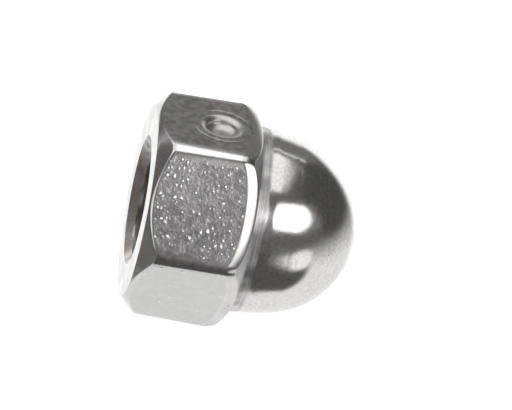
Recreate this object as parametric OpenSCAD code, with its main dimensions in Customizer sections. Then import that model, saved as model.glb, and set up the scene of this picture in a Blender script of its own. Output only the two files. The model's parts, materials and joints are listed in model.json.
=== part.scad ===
// Cap nut: a hexagon nut closed at one end by a polished dome, with one
// locking dimple in a flat. It is modelled upright on its bearing face and
// then laid down the way it comes to rest: on the middle of one flat's
// dome-side edge and on the dome.

/* [Hexagon] */
// Distance between two opposite flats
across_flats = 19; // [18.7:0.1:19.3]
// Length of the hexagon, from the bearing face to the neck
hex_len = 10.55; // [10.2:0.05:10.65]
// Rounding radius of the six long corners
corner_r = 0.8; // [0.3:0.1:1.2]
// Diameter of the flat ring that bears on the joint
face_d = 18.5; // [18:0.1:18.6]

/* [Crown] */
// Radius of the turned arc that takes the corners down to the neck
crown_r = 3.65; // [3.55:0.05:4]
// Height at which the crown arc would start, level with its centre
crown_z = 7.05; // [6.95:0.05:7.3]
// Rounding radius of the flats' edges on the dome side
edge_r = 2.3; // [2:0.1:2.8]
// Height at which that rounding starts
edge_z = 9.45; // [9.3:0.05:9.6]

/* [Dome] */
// Length of the whole nut
total_len = 21.2; // [20.6:0.1:22]
// Radius of the ball that closes the nut
dome_r = 8.62; // [8.4:0.02:8.7]
// Diameter of the neck's straight wall
neck_d = 17.7; // [17.6:0.05:18]
// Height at which that wall ends and a cone takes it in to the ball
neck_z = 12.15; // [11.6:0.05:12.4]

/* [Threaded hole] */
// Diameter of the hole at the thread's crests
bore_d = 10.2; // [10.1:0.05:10.4]
// Depth of the hole's straight wall
bore_depth = 15.5; // [14:0.1:16]
// Diameter of the countersink at the mouth
mouth_d = 12.4; // [12.1:0.1:13]
// Point angle of the drill that made the hole
drill_angle = 118; // [110:1:140]

/* [Locking dimple] */
// Distance of the dimple from the bearing face
dimple_z = 6; // [4.5:0.1:6.5]
// Diameter of the dimple at the flat
dimple_d = 4.2; // [3.9:0.05:4.6]
// Diameter of the dimple's straight wall
dimple_wall_d = 3.2; // [2.8:0.05:3.3]
// Depth of the ledge below the dimple's bevelled mouth
ledge_depth = 0.4; // [0.3:0.05:0.5]
// Depth of the dimple's floor
dimple_depth = 1.25; // [0.8:0.05:1.4]

/* [Hidden] */
$fn = 96;
over = 1;    // how far a cutter runs past what it cuts
seam = 17;   // turned bodies start here, clear of the middles and corners of the flats
steel = "#c4c5c8";

half_flats = across_flats / 2;
corner_out = across_flats / sqrt(3);   // axis to a sharp corner
corner_axis = corner_out - corner_r / cos(30);
face_r = face_d / 2;
neck_r = neck_d / 2;
bore_r = bore_d / 2;
mouth_r = mouth_d / 2;
mouth_len = mouth_r - bore_r;          // the countersink's sides slope at 45 degrees
drill_len = bore_r / tan(drill_angle / 2);

// The crown arc's centre, placed so that the arc meets the neck at hex_len
crown_axis = neck_r - sqrt(pow(crown_r, 2) - pow(hex_len - crown_z, 2));

// The large rounding of the flats' edges ends where the crown's arc cuts it,
// in a crisp edge just outside the neck
edge_axis = half_flats - edge_r;

// The cone above the neck's straight wall touches the ball all round
dome_z = total_len - dome_r;
neck_rise = dome_z - neck_z;
touch_angle = atan2(neck_r, -neck_rise) - acos(dome_r / norm([neck_rise, neck_r]));
touch_z = dome_z + dome_r * cos(touch_angle);
touch_r = dome_r * sin(touch_angle);

// Lying, the nut rests on a rounded edge and on the ball: the floor is the
// line that touches both circles in the section through the axis.
edge_to_dome = dome_z - edge_z;
lie_angle = atan2(edge_axis, edge_to_dome)
    - asin((dome_r - edge_r) / norm([edge_to_dome, edge_axis]));
lying_len = dome_z * cos(lie_angle) + dome_r + face_r * sin(lie_angle);
shift_x = face_r * sin(lie_angle) - lying_len / 2;
shift_z = dome_z * sin(lie_angle) + dome_r;

// Section of one pair of flats, with the flats' edges rounded towards the dome
module flat_pair_section() {
    translate([-half_flats, -over])
        square([across_flats, edge_z + over]);
    translate([-edge_axis, 0])
        square([2 * edge_axis, total_len]);
    for (side = [-1, 1])
        translate([side * edge_axis, edge_z])
            circle(r = edge_r);
}

// A slab that carries one pair of flats, its flats facing along X
module flat_pair() {
    rotate([90, 0, 0])
        linear_extrude(height = 3 * across_flats, center = true)
            flat_pair_section();
}

// What is cut away to round one long corner, which points along X: the wedge
// between the rounding's two touching lines, less the rounding itself
module corner_cut() {
    wedge = 2 * corner_r;
    translate([corner_axis, 0, -over])
        linear_extrude(height = total_len)
            difference() {
                polygon([
                    [0, 0],
                    [wedge * cos(30), wedge * sin(30)],
                    [2 * wedge, 0],
                    [wedge * cos(30), -wedge * sin(30)],
                ]);
                rotate(180)
                    circle(r = corner_r);
            }
}

// Half section of the turned body that trims the hexagon at both ends
module turned_section() {
    intersection() {
        polygon([
            [0, 0],
            [face_r, 0],
            [face_r + hex_len, hex_len],
            [face_r + hex_len, total_len],
            [0, total_len],
        ]);
        union() {
            square([crown_axis, crown_z + crown_r]);
            square([crown_axis + crown_r, crown_z]);
            translate([crown_axis, crown_z])
                circle(r = crown_r);
        }
    }
}

module hexagon() {
    difference() {
        intersection() {
            rotate([0, 0, seam])
                rotate_extrude()
                    turned_section();
            flat_pair();
            rotate([0, 0, 60])
                flat_pair();
            rotate([0, 0, 120])
                flat_pair();
        }
        for (corner = [0 : 5])
            rotate([0, 0, 30 + 60 * corner])
                corner_cut();
    }
}

// Half section of the neck and the ball above it
module dome_section() {
    polygon([
        [0, crown_z],
        [neck_r, crown_z],
        [neck_r, neck_z],
        [touch_r, touch_z],
        [0, touch_z],
    ]);
    intersection() {
        translate([0, dome_z])
            circle(r = dome_r);
        translate([0, touch_z])
            square([dome_r, dome_r + over]);
    }
}

// The tapped hole: countersink, straight wall and drill point. The wall is
// the cylinder of the thread's crests.
module threaded_hole() {
    translate([0, 0, -over])
        cylinder(h = mouth_len + over, r1 = mouth_r + over, r2 = bore_r);
    translate([0, 0, -over])
        cylinder(h = bore_depth + over, r = bore_r);
    translate([0, 0, bore_depth])
        cylinder(h = drill_len, r1 = bore_r, r2 = 0);
}

// The punched dimple, its axis along X through the flat that faces -X
module dimple() {
    translate([-half_flats, 0, dimple_z])
        rotate([0, 90, 0]) {
            translate([0, 0, -over])
                cylinder(h = ledge_depth + over, r1 = dimple_d / 2 + over, r2 = dimple_d / 2 - ledge_depth);
            cylinder(h = dimple_depth, r = dimple_wall_d / 2);
        }
}

module cap_nut() {
    color(steel)
        translate([shift_x, 0, shift_z])
            rotate([0, 90 + lie_angle, 0])
                difference() {
                    union() {
                        hexagon();
                        rotate([0, 0, seam / 2])
                            rotate_extrude()
                                dome_section();
                    }
                    threaded_hole();
                    dimple();
                }
}

cap_nut();
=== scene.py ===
"""A domed cap nut lying on its side: the turned and punched nut, its finishes and the studio round it."""

import json
from bisect import bisect
from math import acos, asin, atan2, cos, hypot, pi, radians, sin, sqrt, tan

import bmesh
import bpy
from mathutils import Matrix, Vector


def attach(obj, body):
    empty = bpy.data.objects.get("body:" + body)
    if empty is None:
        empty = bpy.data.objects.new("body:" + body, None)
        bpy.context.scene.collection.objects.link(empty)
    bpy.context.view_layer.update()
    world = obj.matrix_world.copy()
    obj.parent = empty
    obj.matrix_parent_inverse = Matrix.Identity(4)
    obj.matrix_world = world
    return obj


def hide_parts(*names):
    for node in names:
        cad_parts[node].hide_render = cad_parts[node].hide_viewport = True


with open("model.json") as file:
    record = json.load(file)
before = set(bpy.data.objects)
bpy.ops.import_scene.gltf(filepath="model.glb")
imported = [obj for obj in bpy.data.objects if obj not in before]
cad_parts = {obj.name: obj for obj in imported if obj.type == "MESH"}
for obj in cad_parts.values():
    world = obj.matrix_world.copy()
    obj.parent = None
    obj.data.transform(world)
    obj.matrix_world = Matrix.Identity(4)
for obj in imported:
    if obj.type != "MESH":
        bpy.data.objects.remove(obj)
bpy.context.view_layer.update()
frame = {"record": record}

MM = 0.001

# ---------------------------------------------------------------- sizes, in mm
# Heights run along the nut's axis, from the bearing face towards the dome.
HALF_FLATS = 9.5
FACE_R = 9.25
FACE_EDGE_R = 0.18
CHAMFER_EDGE_R = 0.5

# A long corner is a small rounding between two wide ones. All three narrow
# from the chamfered end to the crown.
CORNER_LOW, CORNER_HIGH = 1.5, 1.0
WIDE_LOW, WIDE_HIGH = 5.0, 2.0
CORNER_EASE = radians(7)
CORNER_FROM, CORNER_TO = 1.7, 9.0

# The crown is an arc about a point at radius CROWN_AXIS and height CROWN_Z.
CROWN_R = 3.65
CROWN_Z = 6.79
CROWN_AXIS = 7.8144

# The band is the rounding between a side and the crown.
BAND_LENGTH = 0.99
BAND_DROP = 0.228
BAND_START = radians(6)
BAND_EASE = 0.12
BAND_BREAK = 0.05

# The neck widens at its foot, where the crown ends, and narrows to the dome's cone.
NECK_START = 10.24
NECK_LINE = [
    (8.985, 10.29), (8.962, 10.4), (8.945, 10.52), (8.93, 10.65), (8.91, 10.8),
    (8.888, 10.96), (8.866, 11.13), (8.853, 11.3), (8.846, 11.5), (8.842, 11.7),
    (8.838, 11.85), (8.829, 12.0), (8.806, 12.2), (8.772, 12.45),
]
CONE_SWELL = 0.012

TOTAL_LEN = 21.2
DOME_R = 8.62
DOME_Z = TOTAL_LEN - DOME_R

# The bearing face starts MOUTH_LIP outside the countersunk mouth, and filling
# the gap joins the outside to the hole.
BORE_R = 5.1
MOUTH_R = 6.2
MOUTH_LIP = 0.12
COUNTERSINK = MOUTH_R - BORE_R

# The thread fades out over FADE_LEN at its deep end.
ROOT_R = 6.0
PITCH = 1.75
CREST_WIDTH = 0.42
ROOT_START = 1.0
THREAD_EASE = 0.04
THREAD_TURNS = 10
THREAD_END = 14.7
FADE_MARGIN, FADE_LEN = 0.1, 1.2

BORE_END = 15.5
DRILL_ANGLE = radians(118)
DRILL_LEN = BORE_R / tan(DRILL_ANGLE / 2)

# The dimple is drawn from an opening that reaches DIMPLE_REACH to each side of its centre.
DIMPLE_Z = 6.2
DIMPLE_REACH = 3.0

# --------------------------------------------------------------- mesh fineness
# Columns go round the nut and rows go along it. Both are closest at the edges.
TIP_REACH, EASE_REACH = radians(4.2), radians(7.8)
TIP_COLUMNS, EASE_COLUMNS, FLAT_COLUMNS = 9, 5, 14
FACE_ROWS = (6.75, 7.6, 8.45)
FACE_MARGIN = 0.06
CHAMFER_ROWS = (0.2, 0.8)
SIDE_STEPS = 22
EASE_STEPS = 4
BAND_STEPS = 10
CROWN_STEPS = 12
NECK_STEPS = 3
CONE_ROWS = (0.12, 0.25, 0.4, 0.55, 0.7, 0.85, 0.95)
DOME_STEPS = 60
FLANK_STEPS = 5
THREAD_STEPS = 72
DRILL_ROWS = (0.85, 0.6, 0.35, 0.15, 0.04)
SHARP_EDGE = radians(35)

# ------------------------------------------------------------- material slots
POLISHED, GRAINED, TURNED, MATT, DULL = range(5)


# ------------------------------------------------------------- small geometry
def polar(centre, radius, angle):
    """Point on a circle in a (radius, height) section; angle 0 faces outwards."""
    return (centre[0] + radius * cos(angle), centre[1] + radius * sin(angle))


def arc(centre, radius, start, end, steps):
    """Points on an arc in a section, both ends included."""
    return [polar(centre, radius, start + (end - start) * i / steps) for i in range(steps + 1)]


def mix(a, b, t):
    return tuple(p + (q - p) * t for p, q in zip(a, b))


def eased(before, corner, after, steps):
    """A corner of a section drawn as a small curve, both ends included."""
    shares = [i / steps for i in range(steps + 1)]
    return [mix(mix(before, corner, t), mix(corner, after, t), t) for t in shares]


def smooth_line(points, steps):
    """A smooth curve through all the points of a section but its first and last."""
    curve = []
    for a, b, c, d in zip(points, points[1:], points[2:], points[3:]):
        for i in range(steps):
            t = i / steps
            curve.append(tuple(
                0.5 * (2 * q + (r - p) * t + (2 * p - 5 * q + 4 * r - s) * t**2
                       + (3 * q - p - 3 * r + s) * t**3)
                for p, q, r, s in zip(a, b, c, d)
            ))
    return curve + [points[-2]]


# ------------------------------------------------------------------ the outside
def column_angles():
    """Angles of the mesh's columns. The long corners point at 30 degrees, 90 degrees and so on."""
    middle = pi / 6
    offsets = [TIP_REACH * i / TIP_COLUMNS for i in range(TIP_COLUMNS)]
    offsets += [TIP_REACH + (EASE_REACH - TIP_REACH) * i / EASE_COLUMNS for i in range(EASE_COLUMNS)]
    offsets += [EASE_REACH + (middle - EASE_REACH) * i / FLAT_COLUMNS for i in range(FLAT_COLUMNS)]
    sextant = [-o for o in reversed(offsets[1:])] + offsets + [middle]
    return sorted((pi / 6 + pi / 3 * corner + o) % (2 * pi) for corner in range(6) for o in sextant)


def hexagon_radius(angle, z):
    """Distance from the axis to the hexagon's side at an angle and a height."""
    off = abs(angle % (pi / 3) - pi / 6)
    climb = min(1, max(0, (z - CORNER_FROM) / (CORNER_TO - CORNER_FROM)))
    tight = CORNER_LOW + (CORNER_HIGH - CORNER_LOW) * climb
    wide = WIDE_LOW + (WIDE_HIGH - WIDE_LOW) * climb
    inner = pi / 6 - CORNER_EASE
    tip = (HALF_FLATS - wide + (wide - tight) * cos(CORNER_EASE)) / cos(pi / 6)
    ease = (tip - (wide - tight) * cos(inner), -(wide - tight) * sin(inner))
    if off > atan2(ease[1] + wide * sin(pi / 6), ease[0] + wide * cos(pi / 6)):
        return HALF_FLATS / cos(pi / 6 - off)
    if off > atan2(tight * sin(inner), tip + tight * cos(inner)):
        centre, radius = ease, wide
    else:
        centre, radius = (tip, 0), tight
    along = centre[0] * cos(off) + centre[1] * sin(off)
    aside = centre[1] * cos(off) - centre[0] * sin(off)
    return along + sqrt(radius**2 - aside**2)


def foot_section(side):
    """Bearing face, its broken edge and the chamfer, up to where the side starts."""
    tangent = tan(pi / 8)  # of a rounding of radius 1 between faces that meet at 45 degrees
    face_end = FACE_R - FACE_EDGE_R * tangent
    face = [(r, 0.0) for r in FACE_ROWS + (face_end - FACE_MARGIN,)]
    face += arc((face_end, FACE_EDGE_R), FACE_EDGE_R, -pi / 2, -pi / 4, 4)
    edge_z = side - FACE_R + CHAMFER_EDGE_R * tangent
    edge = arc((side - CHAMFER_EDGE_R, edge_z), CHAMFER_EDGE_R, -pi / 4, 0, 6)
    return face + [mix(face[-1], edge[0], t) for t in CHAMFER_ROWS] + edge


def side_section(angle, low, high):
    """Straight side between the chamfer and the rounded edge, with close rows at both ends."""
    even = [0.045 + 0.91 * i / SIDE_STEPS for i in range(SIDE_STEPS + 1)]
    shares = [0.008, 0.02] + even + [0.98, 0.992]
    heights = [low + (high - low) * t for t in shares]
    return [(hexagon_radius(angle, z), z) for z in heights]


def crown_point(z):
    """Point of the crown's arc at a height."""
    return polar((CROWN_AXIS, CROWN_Z), CROWN_R, asin((z - CROWN_Z) / CROWN_R))


def shoulder_section(side):
    """The band at the side's upper end with its crisp edge, and the turned crown from there to the neck."""
    crisp_r = side - BAND_DROP
    crisp = (crisp_r, CROWN_Z + sqrt(CROWN_R**2 - (crisp_r - CROWN_AXIS) ** 2))
    low = crisp[1] - BAND_LENGTH
    turn = 2 * atan2(BAND_DROP, BAND_LENGTH) - BAND_START
    radius = hypot(BAND_DROP, BAND_LENGTH) / (2 * sin((turn - BAND_START) / 2))
    centre = (side - radius * cos(BAND_START), low - radius * sin(BAND_START))
    leave = atan2(crisp[1] - CROWN_Z, crisp[0] - CROWN_AXIS)
    band = arc(centre, radius, BAND_START, turn - BAND_BREAK / radius, BAND_STEPS)
    start = eased((side, low - BAND_EASE), band[0], band[1], EASE_STEPS)
    crown_end = asin((NECK_START - CROWN_Z) / CROWN_R)
    crown = arc((CROWN_AXIS, CROWN_Z), CROWN_R, leave + BAND_BREAK / CROWN_R, crown_end, CROWN_STEPS)
    return start + band[2:] + eased(band[-1], crisp, crown[0], EASE_STEPS)[1:-1], crown


def neck_section():
    """Neck from the end of the crown to where the dome's cone starts."""
    crown_end = [crown_point(NECK_START - 0.05), crown_point(NECK_START)]
    beyond = mix(NECK_LINE[-1], ball_touch(), 0.2)
    return smooth_line(crown_end + NECK_LINE + [beyond], NECK_STEPS)[1:]


def ball_angle():
    """Angle from the dome's pole at which the cone touches the ball."""
    r, z = NECK_LINE[-1]
    return atan2(r, z - DOME_Z) - acos(DOME_R / hypot(r, z - DOME_Z))


def ball_touch():
    """Point at which the cone touches the ball."""
    return (DOME_R * sin(ball_angle()), DOME_Z + DOME_R * cos(ball_angle()))


def dome_section():
    """Cone and ball, from the neck to just short of the pole."""
    cone = []
    for t in CONE_ROWS:
        r, z = mix(NECK_LINE[-1], ball_touch(), t)
        cone.append((r + CONE_SWELL * 4 * t * (1 - t), z))
    return cone + arc((0, DOME_Z), DOME_R, pi / 2 - ball_angle(), pi / 2, DOME_STEPS)[:-1]


def draw_ring(bm, edges, move, finish):
    """Extrudes an open rim, moves each new point where move(point) says and returns the new rim."""
    made = bmesh.ops.extrude_edge_only(bm, edges=edges)["geom"]
    fresh = {g for g in made if isinstance(g, bmesh.types.BMVert)}
    for v in fresh:
        v.co = move(v.co)
    for g in made:
        if isinstance(g, bmesh.types.BMFace):
            g.material_index = finish
    return [g for g in made if isinstance(g, bmesh.types.BMEdge) and set(g.verts) <= fresh]


def around(point):
    """Moves a point to a radius and height, and keeps its angle about the axis."""
    return lambda co: Vector((co.x, co.y, 0)).normalized() * point[0] + Vector((0, 0, point[1]))


def close_point(bm, edges, centre):
    """Closes a rim with faces that meet in one point."""
    finish = edges[0].link_faces[0].material_index
    rim = draw_ring(bm, edges, lambda co: centre + (co - centre) * 0.1, finish)
    points = list({v for e in rim for v in e.verts})
    bmesh.ops.pointmerge(bm, verts=points, merge_co=centre)


def forge_outside(bm):
    """The hexagon, neck and dome as one skin, open at the hole's mouth."""
    angles = column_angles()
    ring = bmesh.ops.create_circle(bm, segments=len(angles), radius=MOUTH_R)["verts"]
    ring.sort(key=lambda v: atan2(v.co.y, v.co.x) % (2 * pi))
    for v, a in zip(ring, angles):
        v.co = Vector((cos(a), sin(a), 0)) * (MOUTH_R + MOUTH_LIP)
    rim = list({e for v in ring for e in v.link_edges})

    sections = []
    for a in angles:
        foot = foot_section(hexagon_radius(a, 0))
        band, crown = shoulder_section(hexagon_radius(a, CORNER_TO))
        sections.append((foot, side_section(a, foot[-1][1], band[0][1]), band, crown))
    spans = angles + [angles[0] + 2 * pi]

    for part, finish in enumerate((TURNED, GRAINED, TURNED, MATT)):
        for row in range(len(sections[0][part])):
            def to_outline(co):
                column = bisect(spans, atan2(co.y, co.x) % (2 * pi) + 1e-3) - 1
                return around(sections[column % len(angles)][part][row])(co)
            rim = draw_ring(bm, rim, to_outline, finish)
    for point in neck_section() + dome_section():
        rim = draw_ring(bm, rim, around(point), POLISHED)
    close_point(bm, rim, Vector((0, 0, TOTAL_LEN)))


# -------------------------------------------------------------------- the bore
def tooth_section():
    """One pitch of the thread, from crest to crest, as (radius, height)."""
    crest_end = (BORE_R + THREAD_EASE, CREST_WIDTH + THREAD_EASE)
    root_start = (ROOT_R - THREAD_EASE, ROOT_START - THREAD_EASE)
    flank = [mix(crest_end, root_start, i / FLANK_STEPS) for i in range(FLANK_STEPS + 1)]
    half = [(BORE_R, CREST_WIDTH)] + flank + [(ROOT_R, ROOT_START)]
    return [(BORE_R, 0.0)] + half + [(r, PITCH + CREST_WIDTH - z) for r, z in reversed(half)]


def tap_hole(bm):
    """The tapped hole as a skin of its own, with a right-hand thread, open at its mouth."""
    points = [bm.verts.new((r, 0, z - PITCH)) for r, z in tooth_section()]
    edges = [bm.edges.new(pair) for pair in zip(points, points[1:])]
    bmesh.ops.spin(
        bm, geom=points + edges, cent=(0, 0, 0), axis=(0, 0, 1), dvec=(0, 0, PITCH / THREAD_STEPS),
        angle=2 * pi * THREAD_TURNS, steps=THREAD_STEPS * THREAD_TURNS, use_merge=False, use_duplicate=False,
    )
    bmesh.ops.remove_doubles(bm, verts=bm.verts[:], dist=1e-3)
    for z, normal in ((0.0, (0, 0, -1)), (THREAD_END, (0, 0, 1))):
        everything = bm.verts[:] + bm.edges[:] + bm.faces[:]
        bmesh.ops.bisect_plane(
            bm, geom=everything, dist=1e-4, plane_co=(0, 0, z), plane_no=normal, clear_outer=True,
        )
    for v in bm.verts:
        r = hypot(v.co.x, v.co.y)
        fade = min(1.0, max(0.0, (THREAD_END - FADE_MARGIN - v.co.z) / FADE_LEN))
        v.co = around((max(BORE_R + (r - BORE_R) * fade, MOUTH_R - v.co.z), v.co.z))(v.co)
    for f in bm.faces:
        f.material_index = DULL
    bottom = [e for e in bm.edges if e.is_boundary and min(v.co.z for v in e.verts) > THREAD_END - 0.01]
    drilled = [(BORE_R, BORE_END - 0.3), (BORE_R, BORE_END - 0.1), (BORE_R - 0.05, BORE_END)]
    drilled += [(BORE_R * t, BORE_END + DRILL_LEN * (1 - t)) for t in DRILL_ROWS]
    for point in drilled:
        bottom = draw_ring(bm, bottom, around(point), DULL)
    close_point(bm, bottom, Vector((0, 0, BORE_END + DRILL_LEN)))


# ------------------------------------------------------------------ the dimple
def dimple_section():
    """The punched dimple from the step round it to near its centre, as (radius, depth)."""
    step = [(2.9, 0.0), (2.87, 0.0), (2.83, 0.006), (2.77, 0.018), (2.7, 0.026), (2.5, 0.03), (2.2, 0.03)]
    bevel = [
        (2.07, 0.033), (1.98, 0.052), (1.89, 0.095), (1.8, 0.15), (1.72, 0.205), (1.64, 0.265), (1.57, 0.325),
    ]
    wall = [(1.535, 0.385), (1.525, 0.46), (1.51, 0.54), (1.48, 0.6)]
    bowl = [(1.4, 0.675), (1.29, 0.75), (1.17, 0.82), (1.05, 0.88), (0.93, 0.925)]
    floor = [(0.8, 0.955), (0.55, 0.97), (0.25, 0.975)]
    return step + bevel + wall + bowl + floor


def dimple_opening(bm):
    """The faces of the flat facing -X that make way for the dimple, each row as far as it reaches."""
    flat = {f for f in bm.faces if f.material_index == GRAINED and f.normal.x < -0.9999}
    middle = {f: f.calc_center_median() for f in flat}
    opening = {f for f in flat if abs(middle[f].y) < 0.3 and abs(middle[f].z - DIMPLE_Z) < DIMPLE_REACH}
    fresh = opening
    while fresh:
        sides = {e for f in fresh for e in f.edges if abs(e.verts[0].co.y - e.verts[1].co.y) < 1e-4}
        beside = {f for e in sides for f in e.link_faces} & flat
        fresh = {f for f in beside - opening if abs(middle[f].y) < DIMPLE_REACH}
        opening = opening | fresh
    return opening


def punch_dimple(bm):
    """Draws the dimple inwards from an opening in its flat."""
    centre = Vector((-HALF_FLATS, 0, DIMPLE_Z))
    opening = dimple_opening(bm)
    rims = {e for f in opening for e in f.edges if sum(g in opening for g in e.link_faces) == 1}
    bmesh.ops.delete(bm, geom=list(opening), context="FACES")
    rim = [e for e in rims if e.is_valid]

    def inwards(radius, depth):
        middle = centre + Vector((depth, 0, 0))
        return lambda co: middle + Vector((0, co.y, co.z - DIMPLE_Z)).normalized() * radius

    for radius, depth in dimple_section():
        rim = draw_ring(bm, rim, inwards(radius, depth), GRAINED)
    close_point(bm, rim, centre + Vector((dimple_section()[-1][1], 0, 0)))


# ---------------------------------------------------------------- the whole nut
def nut_place():
    """Where the nut lies: its axis and bearing face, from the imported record's thread."""
    thread = next(m for m in frame["record"]["mounts"] if m["name"] == "thread")
    along = -Vector(thread["axis"])
    foot = Vector(thread["pos_m"]) - along * COUNTERSINK * MM
    across = Vector((0, 1, 0))
    turned = Matrix((across.cross(along), across, along)).transposed().to_4x4()
    return Matrix.Translation(foot) @ turned


def make_nut():
    """The whole nut as one closed skin, in place and in metres."""
    bm = bmesh.new()
    tap_hole(bm)
    forge_outside(bm)
    bmesh.ops.recalc_face_normals(bm, faces=bm.faces[:])
    punch_dimple(bm)
    mouth = [e for e in bm.edges if e.is_boundary]
    for g in bmesh.ops.triangle_fill(bm, edges=mouth, use_beauty=True)["geom"]:
        if isinstance(g, bmesh.types.BMFace):
            g.material_index = TURNED
    bmesh.ops.remove_doubles(bm, verts=bm.verts[:], dist=1e-4)
    bmesh.ops.recalc_face_normals(bm, faces=bm.faces[:])
    for f in bm.faces:
        f.smooth = True
    for e in bm.edges:
        e.smooth = e.calc_face_angle(0) < SHARP_EDGE
    bmesh.ops.transform(bm, matrix=nut_place() @ Matrix.Scale(MM, 4), verts=bm.verts[:])
    mesh = bpy.data.meshes.new("cap_nut_body")
    bm.to_mesh(mesh)
    bm.free()
    return mesh


# --------------------------------------------------------------- node building
def add_node(tree, kind, inputs=(), **settings):
    """Adds a node; inputs maps its sockets to values or to other nodes' sockets."""
    node = tree.nodes.new(kind)
    for name, value in settings.items():
        setattr(node, name, value)
    for socket, value in dict(inputs).items():
        if isinstance(value, bpy.types.NodeSocket):
            tree.links.new(value, node.inputs[socket])
        else:
            node.inputs[socket].default_value = value
    return node


def maths(tree, operation, *values):
    return add_node(tree, "ShaderNodeMath", enumerate(values), operation=operation).outputs[0]


def ramp(tree, value, low, high, to_low=0.0, to_high=1.0):
    """Value spread from low..high to to_low..to_high with soft ends."""
    inputs = {"Value": value, "From Min": low, "From Max": high, "To Min": to_low, "To Max": to_high}
    return add_node(tree, "ShaderNodeMapRange", inputs, interpolation_type="SMOOTHSTEP").outputs["Result"]


def blend(tree, share, first, second):
    """Colour between first and second."""
    return add_node(tree, "ShaderNodeMix", {0: share, 6: first, 7: second}, data_type="RGBA").outputs[2]


def length(tree, a, b):
    """Length of a vector from its two parts."""
    squares = [maths(tree, "MULTIPLY", part, part) for part in (a, b)]
    return maths(tree, "SQRT", maths(tree, "ADD", *squares))


def noise(tree, vector, scale, detail=2.0, roughness=0.5):
    inputs = {"Vector": vector, "Scale": scale, "Detail": detail, "Roughness": roughness}
    return add_node(tree, "ShaderNodeTexNoise", inputs).outputs["Fac"]


def new_group(name, inputs, outputs):
    """An empty shader group with its sockets; returns the tree and its two ends."""
    tree = bpy.data.node_groups.new(name, "ShaderNodeTree")
    for socket, (kind, value) in inputs.items():
        made = tree.interface.new_socket(name=socket, in_out="INPUT", socket_type=kind)
        if value is not None:
            made.default_value = value
    for socket in outputs:
        tree.interface.new_socket(name=socket, in_out="OUTPUT", socket_type="NodeSocketFloat")
    return tree, tree.nodes.new("NodeGroupInput"), tree.nodes.new("NodeGroupOutput")


def fill_group(tree, group, inputs):
    """Adds a group and fills its inputs with sockets or values."""
    return add_node(tree, "ShaderNodeGroup", inputs, node_tree=group)


# ------------------------------------------------- patterns the finishes share
def nut_coordinates(tree):
    """The piece's own coordinates, turned into the nut's axes and counted in millimetres."""
    place = nut_place()
    turn = place.to_3x3().inverted()
    source = add_node(tree, "ShaderNodeTexCoord").outputs["Object"]
    mapping = {
        "Vector": source, "Scale": (1 / MM,) * 3, "Rotation": turn.to_euler(),
        "Location": turn @ place.translation / -MM,
    }
    return add_node(tree, "ShaderNodeMapping", mapping).outputs[0]


def build_grain_group():
    """Metal grain: a height, soft blotches, and round standing grains in a share of the cells."""
    tree, start, end = new_group("metal grain", {
        "Vector": ("NodeSocketVector", None),
        "Grain Size": ("NodeSocketFloat", 0.3),
        "Share": ("NodeSocketFloat", 0.2),
    }, ("Height", "Blotches", "Standing Grains"))
    vector = start.outputs["Vector"]
    density = maths(tree, "DIVIDE", 1.0, start.outputs["Grain Size"])
    tree.links.new(noise(tree, vector, density, 3.0, 0.6), end.inputs["Height"])
    blotches = noise(tree, vector, maths(tree, "MULTIPLY", density, 0.45), 2.0)
    tree.links.new(ramp(tree, blotches, 0.35, 0.65), end.inputs["Blotches"])

    wander = add_node(tree, "ShaderNodeTexNoise", {
        "Vector": vector, "Scale": maths(tree, "MULTIPLY", density, 0.8),
    }).outputs["Color"]
    shift = add_node(tree, "ShaderNodeVectorMath", {0: wander, 1: (0.25, 0.25, 0.25)}, operation="MULTIPLY")
    moved = add_node(tree, "ShaderNodeVectorMath", {0: vector, 1: shift.outputs[0]}, operation="ADD")
    cells = add_node(tree, "ShaderNodeTexVoronoi", {
        "Vector": moved.outputs[0], "Scale": maths(tree, "MULTIPLY", density, 0.6),
    })
    draw, width, lift = add_node(tree, "ShaderNodeSeparateColor", {0: cells.outputs["Color"]}).outputs
    chosen = maths(tree, "LESS_THAN", draw, start.outputs["Share"])
    reach = maths(tree, "ADD", 0.3, maths(tree, "MULTIPLY", width, 0.4))
    standing = ramp(tree, maths(tree, "DIVIDE", cells.outputs["Distance"], reach), 0.0, 1.0, 1.0, 0.0)
    height = maths(tree, "ADD", 0.15, maths(tree, "MULTIPLY", maths(tree, "POWER", lift, 1.5), 0.85))
    grains = maths(tree, "MULTIPLY", maths(tree, "MULTIPLY", standing, chosen), height)
    tree.links.new(grains, end.inputs["Standing Grains"])
    return tree


def build_turning_group():
    """Fine rings left by the lathe, broken up along their length."""
    tree, start, end = new_group("turning marks", {
        "Vector": ("NodeSocketVector", None),
        "Spacing": ("NodeSocketFloat", 0.12),
    }, ("Height",))
    x, y, z = add_node(tree, "ShaderNodeSeparateXYZ", {0: start.outputs["Vector"]}).outputs
    rings = add_node(tree, "ShaderNodeCombineXYZ", {2: maths(tree, "SUBTRACT", length(tree, x, y), z)})
    density = maths(tree, "DIVIDE", 1.0, start.outputs["Spacing"])
    marks = noise(tree, rings.outputs[0], density, 2.0)
    patches = noise(tree, start.outputs["Vector"], 0.8, 1.0)
    tree.links.new(maths(tree, "MULTIPLY", marks, patches), end.inputs["Height"])
    return tree


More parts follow.
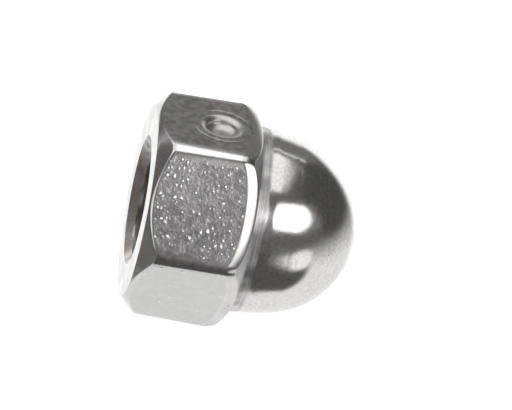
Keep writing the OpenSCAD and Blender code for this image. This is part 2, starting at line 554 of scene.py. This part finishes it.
def build_handling_group():
    """Traces of handling: soft smudges, and small pits that are few and far between."""
    tree, start, end = new_group("handling traces", {
        "Vector": ("NodeSocketVector", None),
        "Smudge Size": ("NodeSocketFloat", 4.0),
        "Pit Size": ("NodeSocketFloat", 0.5),
    }, ("Smudges", "Pits"))
    vector = start.outputs["Vector"]
    smudges = noise(tree, vector, maths(tree, "DIVIDE", 1.0, start.outputs["Smudge Size"]), 3.0)
    tree.links.new(ramp(tree, smudges, 0.35, 0.7), end.inputs["Smudges"])

    cells = add_node(tree, "ShaderNodeTexVoronoi", {
        "Vector": vector, "Scale": maths(tree, "DIVIDE", 0.3, start.outputs["Pit Size"]),
    })
    near = ramp(tree, cells.outputs["Distance"], 0.06, 0.12, 1.0, 0.0)
    draw = add_node(tree, "ShaderNodeSeparateColor", {0: cells.outputs["Color"]}).outputs[0]
    tree.links.new(maths(tree, "MULTIPLY", near, maths(tree, "GREATER_THAN", draw, 0.8)), end.inputs["Pits"])
    return tree


# ------------------------------------------------------------------- materials
def start_metal(name):
    """A metal with its constants set. Returns it with its tree, its shader and the nut's coordinates."""
    material = bpy.data.materials.new(name)
    material.use_nodes = True
    tree = material.node_tree
    shader = tree.nodes["Principled BSDF"]
    shader.inputs["Metallic"].default_value = 1.0
    return material, tree, shader, nut_coordinates(tree)


def set_bump(tree, shader, height, depth):
    """Raises the surface by height times a depth in millimetres."""
    bump = add_node(tree, "ShaderNodeBump", {"Height": height, "Distance": depth * MM, "Strength": 1.0})
    tree.links.new(bump.outputs[0], shader.inputs["Normal"])


def polished_metal(groups):
    """The dome and neck: nearly a mirror, mottled and a little pitted, with a streaked, duller foot."""
    clean, dimmed, mottle = (0.71, 0.695, 0.685, 1), (0.63, 0.615, 0.605, 1), (0.76, 0.745, 0.735, 1)
    pit = (0.3, 0.28, 0.27, 1)
    dark_streak, light_streak = (0.46, 0.445, 0.43, 1), (0.74, 0.725, 0.71, 1)

    material, tree, shader, vector = start_metal("polished dome")
    height = add_node(tree, "ShaderNodeSeparateXYZ", {0: vector}).outputs[2]
    foot = ramp(tree, height, 11.0, 11.4, 1.0, 0.0)
    traces = fill_group(tree, groups["traces"], {"Vector": vector, "Smudge Size": 3.0, "Pit Size": 0.35})
    grain = fill_group(tree, groups["grain"], {"Vector": vector, "Grain Size": 0.14, "Share": 0.0})
    marks = fill_group(tree, groups["turning"], {"Vector": vector, "Spacing": 0.22})

    smudged = blend(tree, traces.outputs["Smudges"], clean, dimmed)
    mottled = blend(tree, grain.outputs["Blotches"], smudged, mottle)
    pitted = blend(tree, traces.outputs["Pits"], mottled, pit)
    streaked = blend(tree, ramp(tree, marks.outputs["Height"], 0.15, 0.35), dark_streak, light_streak)
    tree.links.new(blend(tree, foot, pitted, streaked), shader.inputs["Base Color"])

    polish = ramp(tree, traces.outputs["Smudges"], 0, 1, 0.12, 0.17)
    duller = maths(tree, "MULTIPLY", foot, 0.24)
    tree.links.new(maths(tree, "ADD", polish, duller), shader.inputs["Roughness"])
    set_bump(tree, shader, maths(tree, "SUBTRACT", grain.outputs["Height"], traces.outputs["Pits"]), 0.003)
    return material


def grained_metal(groups):
    """The flats: satin and blotchy, with glinting grains on the two beside the top, which also carry a
    painted sheen towards the bearing face. The top flat's long corners and the grains are painted a
    near-white glint. The dimple is plain.
    """
    dark_side, light_side, plain_side = (0.5, 0.5, 0.51, 1), (0.72, 0.72, 0.72, 1), (0.61, 0.61, 0.61, 1)
    dark_top, light_top = (0.52, 0.515, 0.51, 1), (0.74, 0.735, 0.73, 1)
    bright, painted_glint, punched = (0.95, 0.95, 0.95, 1), (0.97, 0.97, 0.97, 1), (0.6, 0.595, 0.585, 1)

    # The dimpled flat, the top one, is at across = -9.5, and the flats beside
    # it reach down to about across = 0, where the two lower ones begin.
    material, tree, shader, vector = start_metal("grained flats")
    across, aside, height = add_node(tree, "ShaderNodeSeparateXYZ", {0: vector}).outputs
    off_top = ramp(tree, across, -9.45, -9.2)
    upper = maths(tree, "MULTIPLY", ramp(tree, across, -9.0, -3.0, 1.0, 0.0), off_top)
    lower = ramp(tree, across, -0.6, 0.4)
    # This mask sets more grains on the two flats beside the top, towards the bearing face, and it also paints
    # a sheen there (see below).
    busy_and_sheen = maths(tree, "MULTIPLY", ramp(tree, height, 1.0, 7.0, 1.0, 0.0), upper)
    from_dimple = length(tree, maths(tree, "SUBTRACT", height, DIMPLE_Z), aside)
    near_top = ramp(tree, across, -8.0, -7.0, 1.0, 0.0)
    dimple = maths(tree, "MULTIPLY", ramp(tree, from_dimple, 1.9, 2.4, 1.0, 0.0), near_top)
    from_axis = length(tree, across, aside)
    # Painted highlight along the top flat's two long corners: this mask marks where they round off, and they
    # get the near-white glint colour.
    top_corner = ramp(tree, across, -8.0, -6.0, 1.0, 0.0)
    corner = maths(tree, "MULTIPLY", ramp(tree, from_axis, 10.35, 10.6), top_corner)

    allowed = maths(tree, "MULTIPLY", off_top, ramp(tree, across, -0.6, 0.4, 1.0, 0.15))
    share = maths(tree, "MULTIPLY", ramp(tree, busy_and_sheen, 0, 1, 0.6, 1.0), allowed)
    grain = fill_group(tree, groups["grain"], {"Vector": vector, "Grain Size": 0.3, "Share": share})
    grains = grain.outputs["Standing Grains"]
    traces = fill_group(tree, groups["traces"], {"Vector": vector, "Smudge Size": 5.0, "Pit Size": 0.5})

    side = blend(tree, grain.outputs["Blotches"], dark_side, light_side)
    side = blend(tree, maths(tree, "MULTIPLY", lower, 0.9), side, plain_side)
    top = blend(tree, grain.outputs["Blotches"], dark_top, light_top)
    # Painted sheen: the two flats beside the top are painted a brighter colour towards the bearing face.
    with_painted_sheen = blend(tree, maths(tree, "MULTIPLY", busy_and_sheen, 0.7), blend(tree, off_top, top, side), bright)
    # Painted glint: the raised grains and the top flat's long corners get a near-white colour.
    glinting = blend(tree, maths(tree, "MAXIMUM", corner, grains), with_painted_sheen, painted_glint)
    tree.links.new(blend(tree, dimple, glinting, punched), shader.inputs["Base Color"])

    satin = ramp(tree, traces.outputs["Smudges"], 0, 1, 0.17, 0.22)
    duller = maths(tree, "MULTIPLY", dimple, 0.15)
    tree.links.new(maths(tree, "ADD", satin, duller), shader.inputs["Roughness"])

    smooth_corner = ramp(tree, from_axis, 10.45, 10.6, 1.0, 0.1)
    strength = maths(tree, "MULTIPLY", ramp(tree, off_top, 0, 1, 0.3, 1.0), smooth_corner)
    raised = maths(tree, "ADD", maths(tree, "MULTIPLY", grain.outputs["Height"], 0.4), grains)
    set_bump(tree, shader, maths(tree, "MULTIPLY", raised, strength), 0.05)
    return material


def turned_metal(groups, name, light, dark, satin):
    """Metal with the lathe's fine rings and a few pits: satin is its least roughness."""
    pit = (0.35, 0.32, 0.3, 1)
    material, tree, shader, vector = start_metal(name)
    marks = fill_group(tree, groups["turning"], {"Vector": vector, "Spacing": 0.15})
    traces = fill_group(tree, groups["traces"], {"Vector": vector, "Smudge Size": 2.5, "Pit Size": 0.4})
    smudged = blend(tree, traces.outputs["Smudges"], light, dark)
    tree.links.new(blend(tree, traces.outputs["Pits"], smudged, pit), shader.inputs["Base Color"])
    roughness = ramp(tree, traces.outputs["Smudges"], 0, 1, satin, satin + 0.08)
    tree.links.new(roughness, shader.inputs["Roughness"])
    set_bump(tree, shader, marks.outputs["Height"], 0.006)
    return material


def chamfer_metal(groups):
    """The chamfer, the bearing face and the band round the sides' upper ends: smooth and bright."""
    light, dark = (0.68, 0.665, 0.65, 1), (0.6, 0.58, 0.56, 1)
    return turned_metal(groups, "turned chamfer", light, dark, satin=0.14)


def crown_metal(groups):
    """The crown: turned as the chamfer is, but matt."""
    light, dark = (0.72, 0.7, 0.68, 1), (0.6, 0.58, 0.56, 1)
    return turned_metal(groups, "matt crown", light, dark, satin=0.48)


def dull_metal(groups):
    """The hole: dull and brownish, with the rings of the drill and the tap."""
    light, dark = (0.66, 0.62, 0.59, 1), (0.4, 0.37, 0.34, 1)
    material, tree, shader, vector = start_metal("dull bore")
    marks = fill_group(tree, groups["turning"], {"Vector": vector, "Spacing": 0.3})
    traces = fill_group(tree, groups["traces"], {"Vector": vector, "Smudge Size": 1.2, "Pit Size": 0.5})
    tree.links.new(blend(tree, traces.outputs["Smudges"], light, dark), shader.inputs["Base Color"])
    tree.links.new(ramp(tree, traces.outputs["Smudges"], 0, 1, 0.3, 0.45), shader.inputs["Roughness"])
    set_bump(tree, shader, marks.outputs["Height"], 0.03)
    return material


def make_finishes():
    """The five finishes, in the order of their material slots."""
    groups = {
        "grain": build_grain_group(),
        "turning": build_turning_group(),
        "traces": build_handling_group(),
    }
    return [make(groups) for make in (polished_metal, grained_metal, chamfer_metal, crown_metal, dull_metal)]


# ------------------------------------------------------------------ the studio
# What stands round the nut, as the nut sees it: each surface is (name, azimuth,
# half width, elevation, half height, softness, brightness), its angles in
# degrees. Azimuth counts from the camera's side, positive to the right. Later
# surfaces stand in front of earlier ones.
SURROUNDINGS = [
    ("back wall", 163, 29, -14, 26, 0.25, 1.3),
    ("left back wall", -153, 36, -8, 25, 0.15, 1.15),
    ("grey wall behind", 160, 26, 31, 14, 0.5, 0.21),
    ("dark right wall", 101, 37, 24, 36, 0.2, 0.09),
    ("floor in the left's shade", -85, 38, -20, 22, 0.3, 0.2),
    ("floor in the camera's shade", 2, 53, -40, 31, 0.12, 0.11),
    ("pale wall by the camera", 6, 18, 28, 18, 0.4, 0.26),
    ("pale edge of the key softbox", 66, 9, 18, 15, 0.5, 0.22),
    ("key softbox in the floor", 39.5, 16, -25, 12, 0.2, 1.1),
    ("left softbox", -35, 22, 30, 13, 0.25, 1.2),
    ("key softbox", 43.5, 20, 26, 14.5, 0.13, 2.2),
]
# The floor is pale, the room over it is dark, and dark surfaces are a little warm.
PALE_FLOOR, DARK_ROOM = (0.98, 0.98, 0.97, 1), (0.15, 0.138, 0.135, 1)
WARMTH = 0.93
CORNER_POWER = 2.5

# A card and a thin strip behind it hang level over the nut. Their edges are
# places across (to the right) and ahead (away from the camera), for a height
# of 1 above the nut.
CARD_LEFT, CARD_RIGHT, CARD_FRONT, CARD_BACK = -1.0, 0.75, -0.4, 0.8
CARD_BRIGHTNESS = 1.15
STRIP_RIGHT, STRIP_FRONT, STRIP_BACK = 0.95, 1.0, 1.1
STRIP_BRIGHTNESS = 0.9


def build_surface_group():
    """Mask of a surface with rounded corners, seen from the nut."""
    names = ("Azimuth", "Elevation", "Middle", "Half Width", "Height", "Half Height", "Softness")
    tree, start, end = new_group("surface mask", {n: ("NodeSocketFloat", 0.0) for n in names}, ("Mask",))
    given = start.outputs
    turn = maths(tree, "WRAP", maths(tree, "SUBTRACT", given["Azimuth"], given["Middle"]), 180.0, -180.0)
    lift = maths(tree, "SUBTRACT", given["Elevation"], given["Height"])
    total = 0.0
    for offset, half in ((turn, given["Half Width"]), (lift, given["Half Height"])):
        share = maths(tree, "ABSOLUTE", maths(tree, "DIVIDE", offset, half))
        total = maths(tree, "ADD", total, maths(tree, "POWER", share, CORNER_POWER))
    reach = maths(tree, "POWER", total, 1 / CORNER_POWER)
    outer = maths(tree, "ADD", 1.0, given["Softness"])
    inner = maths(tree, "SUBTRACT", 1.0, given["Softness"])
    tree.links.new(ramp(tree, reach, inner, outer, 1.0, 0.0), end.inputs["Mask"])
    return tree


def hang_sheet(tree, colour, edges, brightness):
    """Paints a level sheet over the nut; edges are (place, soft low end, soft high end, rising or not)."""
    mask = 1.0
    for place, low, high, rising in edges:
        ends = (0.0, 1.0) if rising else (1.0, 0.0)
        mask = maths(tree, "MULTIPLY", mask, ramp(tree, place, low, high, *ends))
    return blend(tree, mask, colour, (brightness, brightness, brightness, 1))


def light_world():
    """Everything the metal mirrors; the camera itself sees plain pale paper."""
    world = bpy.data.worlds.new("studio")
    world.use_nodes = True
    tree = world.node_tree
    direction = add_node(tree, "ShaderNodeTexCoord").outputs["Generated"]
    x, y, z = add_node(tree, "ShaderNodeSeparateXYZ", {0: direction}).outputs
    azimuth = maths(tree, "DEGREES", maths(tree, "ARCTAN2", x, maths(tree, "MULTIPLY", y, -1.0)))
    elevation = maths(tree, "DEGREES", maths(tree, "ARCSINE", z))
    colour = blend(tree, ramp(tree, elevation, -40.0, -4.0), PALE_FLOOR, DARK_ROOM)

    mask_group = build_surface_group()
    for name, middle, half_width, height, half_height, softness, brightness in SURROUNDINGS:
        mask = fill_group(tree, mask_group, {
            "Azimuth": azimuth, "Elevation": elevation, "Middle": middle, "Half Width": half_width,
            "Height": height, "Half Height": half_height, "Softness": softness,
        })
        mask.label = name
        warm = brightness * WARMTH if brightness < 0.5 else brightness
        colour = blend(tree, mask.outputs[0], colour, (brightness, warm, warm, 1))

    above = maths(tree, "MAXIMUM", z, 0.05)
    across, ahead = maths(tree, "DIVIDE", x, above), maths(tree, "DIVIDE", y, above)
    colour = hang_sheet(tree, colour, (
        (across, CARD_RIGHT - 0.03, CARD_RIGHT + 0.015, False),
        (across, CARD_LEFT - 0.05, CARD_LEFT + 0.05, True),
        (ahead, CARD_FRONT - 0.05, CARD_FRONT + 0.05, True),
        (ahead, CARD_BACK - 0.06, CARD_BACK + 0.06, False),
    ), CARD_BRIGHTNESS)
    colour = hang_sheet(tree, colour, (
        (across, STRIP_RIGHT - 0.05, STRIP_RIGHT + 0.05, False),
        (ahead, STRIP_FRONT - 0.05, STRIP_FRONT, True),
        (ahead, STRIP_BACK, STRIP_BACK + 0.05, False),
    ), STRIP_BRIGHTNESS)

    seen = add_node(tree, "ShaderNodeLightPath").outputs["Is Camera Ray"]
    tree.links.new(blend(tree, seen, colour, (1, 1, 1, 1)), tree.nodes["Background"].inputs["Color"])
    bpy.context.scene.world = world


def facing(location, target, roll=0.0):
    """Rotation that points an object's -Z at the target."""
    look = (Vector(target) - Vector(location)).to_track_quat("-Z", "Y")
    return look @ Matrix.Rotation(roll, 3, "Z").to_quaternion()


def add_camera():
    """A long lens from the front, looking down on the nut."""
    azimuth, elevation, roll = radians(-1.5), radians(30.5), radians(-0.45)
    distance = 0.76
    aim = Vector((1.832, 0.510, 10.245)) * MM
    back = Vector((sin(azimuth) * cos(elevation), -cos(azimuth) * cos(elevation), sin(elevation)))
    lens = bpy.data.cameras.new("camera")
    lens.lens = 562
    lens.sensor_width = 36
    lens.clip_start = 0.01
    camera = bpy.data.objects.new("camera", lens)
    camera.location = aim + back * distance
    camera.rotation_mode = "QUATERNION"
    camera.rotation_quaternion = facing(camera.location, aim, roll)
    bpy.context.scene.collection.objects.link(camera)
    bpy.context.scene.camera = camera


def add_overhead(name, location, size, power):
    """A large soft light for the floor; the metal mirrors the studio instead of it."""
    light = bpy.data.lights.new(name, "AREA")
    light.size = size
    light.energy = power
    lamp = bpy.data.objects.new(name, light)
    lamp.location = location
    lamp.rotation_mode = "QUATERNION"
    lamp.rotation_quaternion = facing(location, (0, 0, 0))
    lamp.visible_camera = False
    lamp.visible_glossy = False
    bpy.context.scene.collection.objects.link(lamp)


def add_floor():
    """Pale paper under the nut, bright enough by itself to have only faint shadows."""
    bm = bmesh.new()
    bmesh.ops.create_grid(bm, x_segments=1, y_segments=1, size=1.5)
    mesh = bpy.data.meshes.new("floor")
    bm.to_mesh(mesh)
    bm.free()
    floor = bpy.data.objects.new("floor", mesh)
    floor.visible_glossy = False
    bpy.context.scene.collection.objects.link(floor)
    material = bpy.data.materials.new("pale paper")
    material.use_nodes = True
    shader = material.node_tree.nodes["Principled BSDF"]
    shader.inputs["Base Color"].default_value = (0.9, 0.9, 0.9, 1)
    shader.inputs["Roughness"].default_value = 1.0
    shader.inputs["Specular IOR Level"].default_value = 0.0
    shader.inputs["Emission Color"].default_value = (1, 1, 1, 1)
    shader.inputs["Emission Strength"].default_value = 0.75
    mesh.materials.append(material)


# ------------------------------------------------------------------- the scene
nut = bpy.data.objects.new("cap_nut_visual", make_nut())
bpy.context.scene.collection.objects.link(nut)
for finish in make_finishes():
    nut.data.materials.append(finish)
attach(nut, "root")
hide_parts("cap_nut")

add_camera()
add_floor()
light_world()
add_overhead("overhead softbox", location=(0.1, 0.05, 0.6), size=0.8, power=14)
bpy.context.scene.view_settings.view_transform = "Standard"
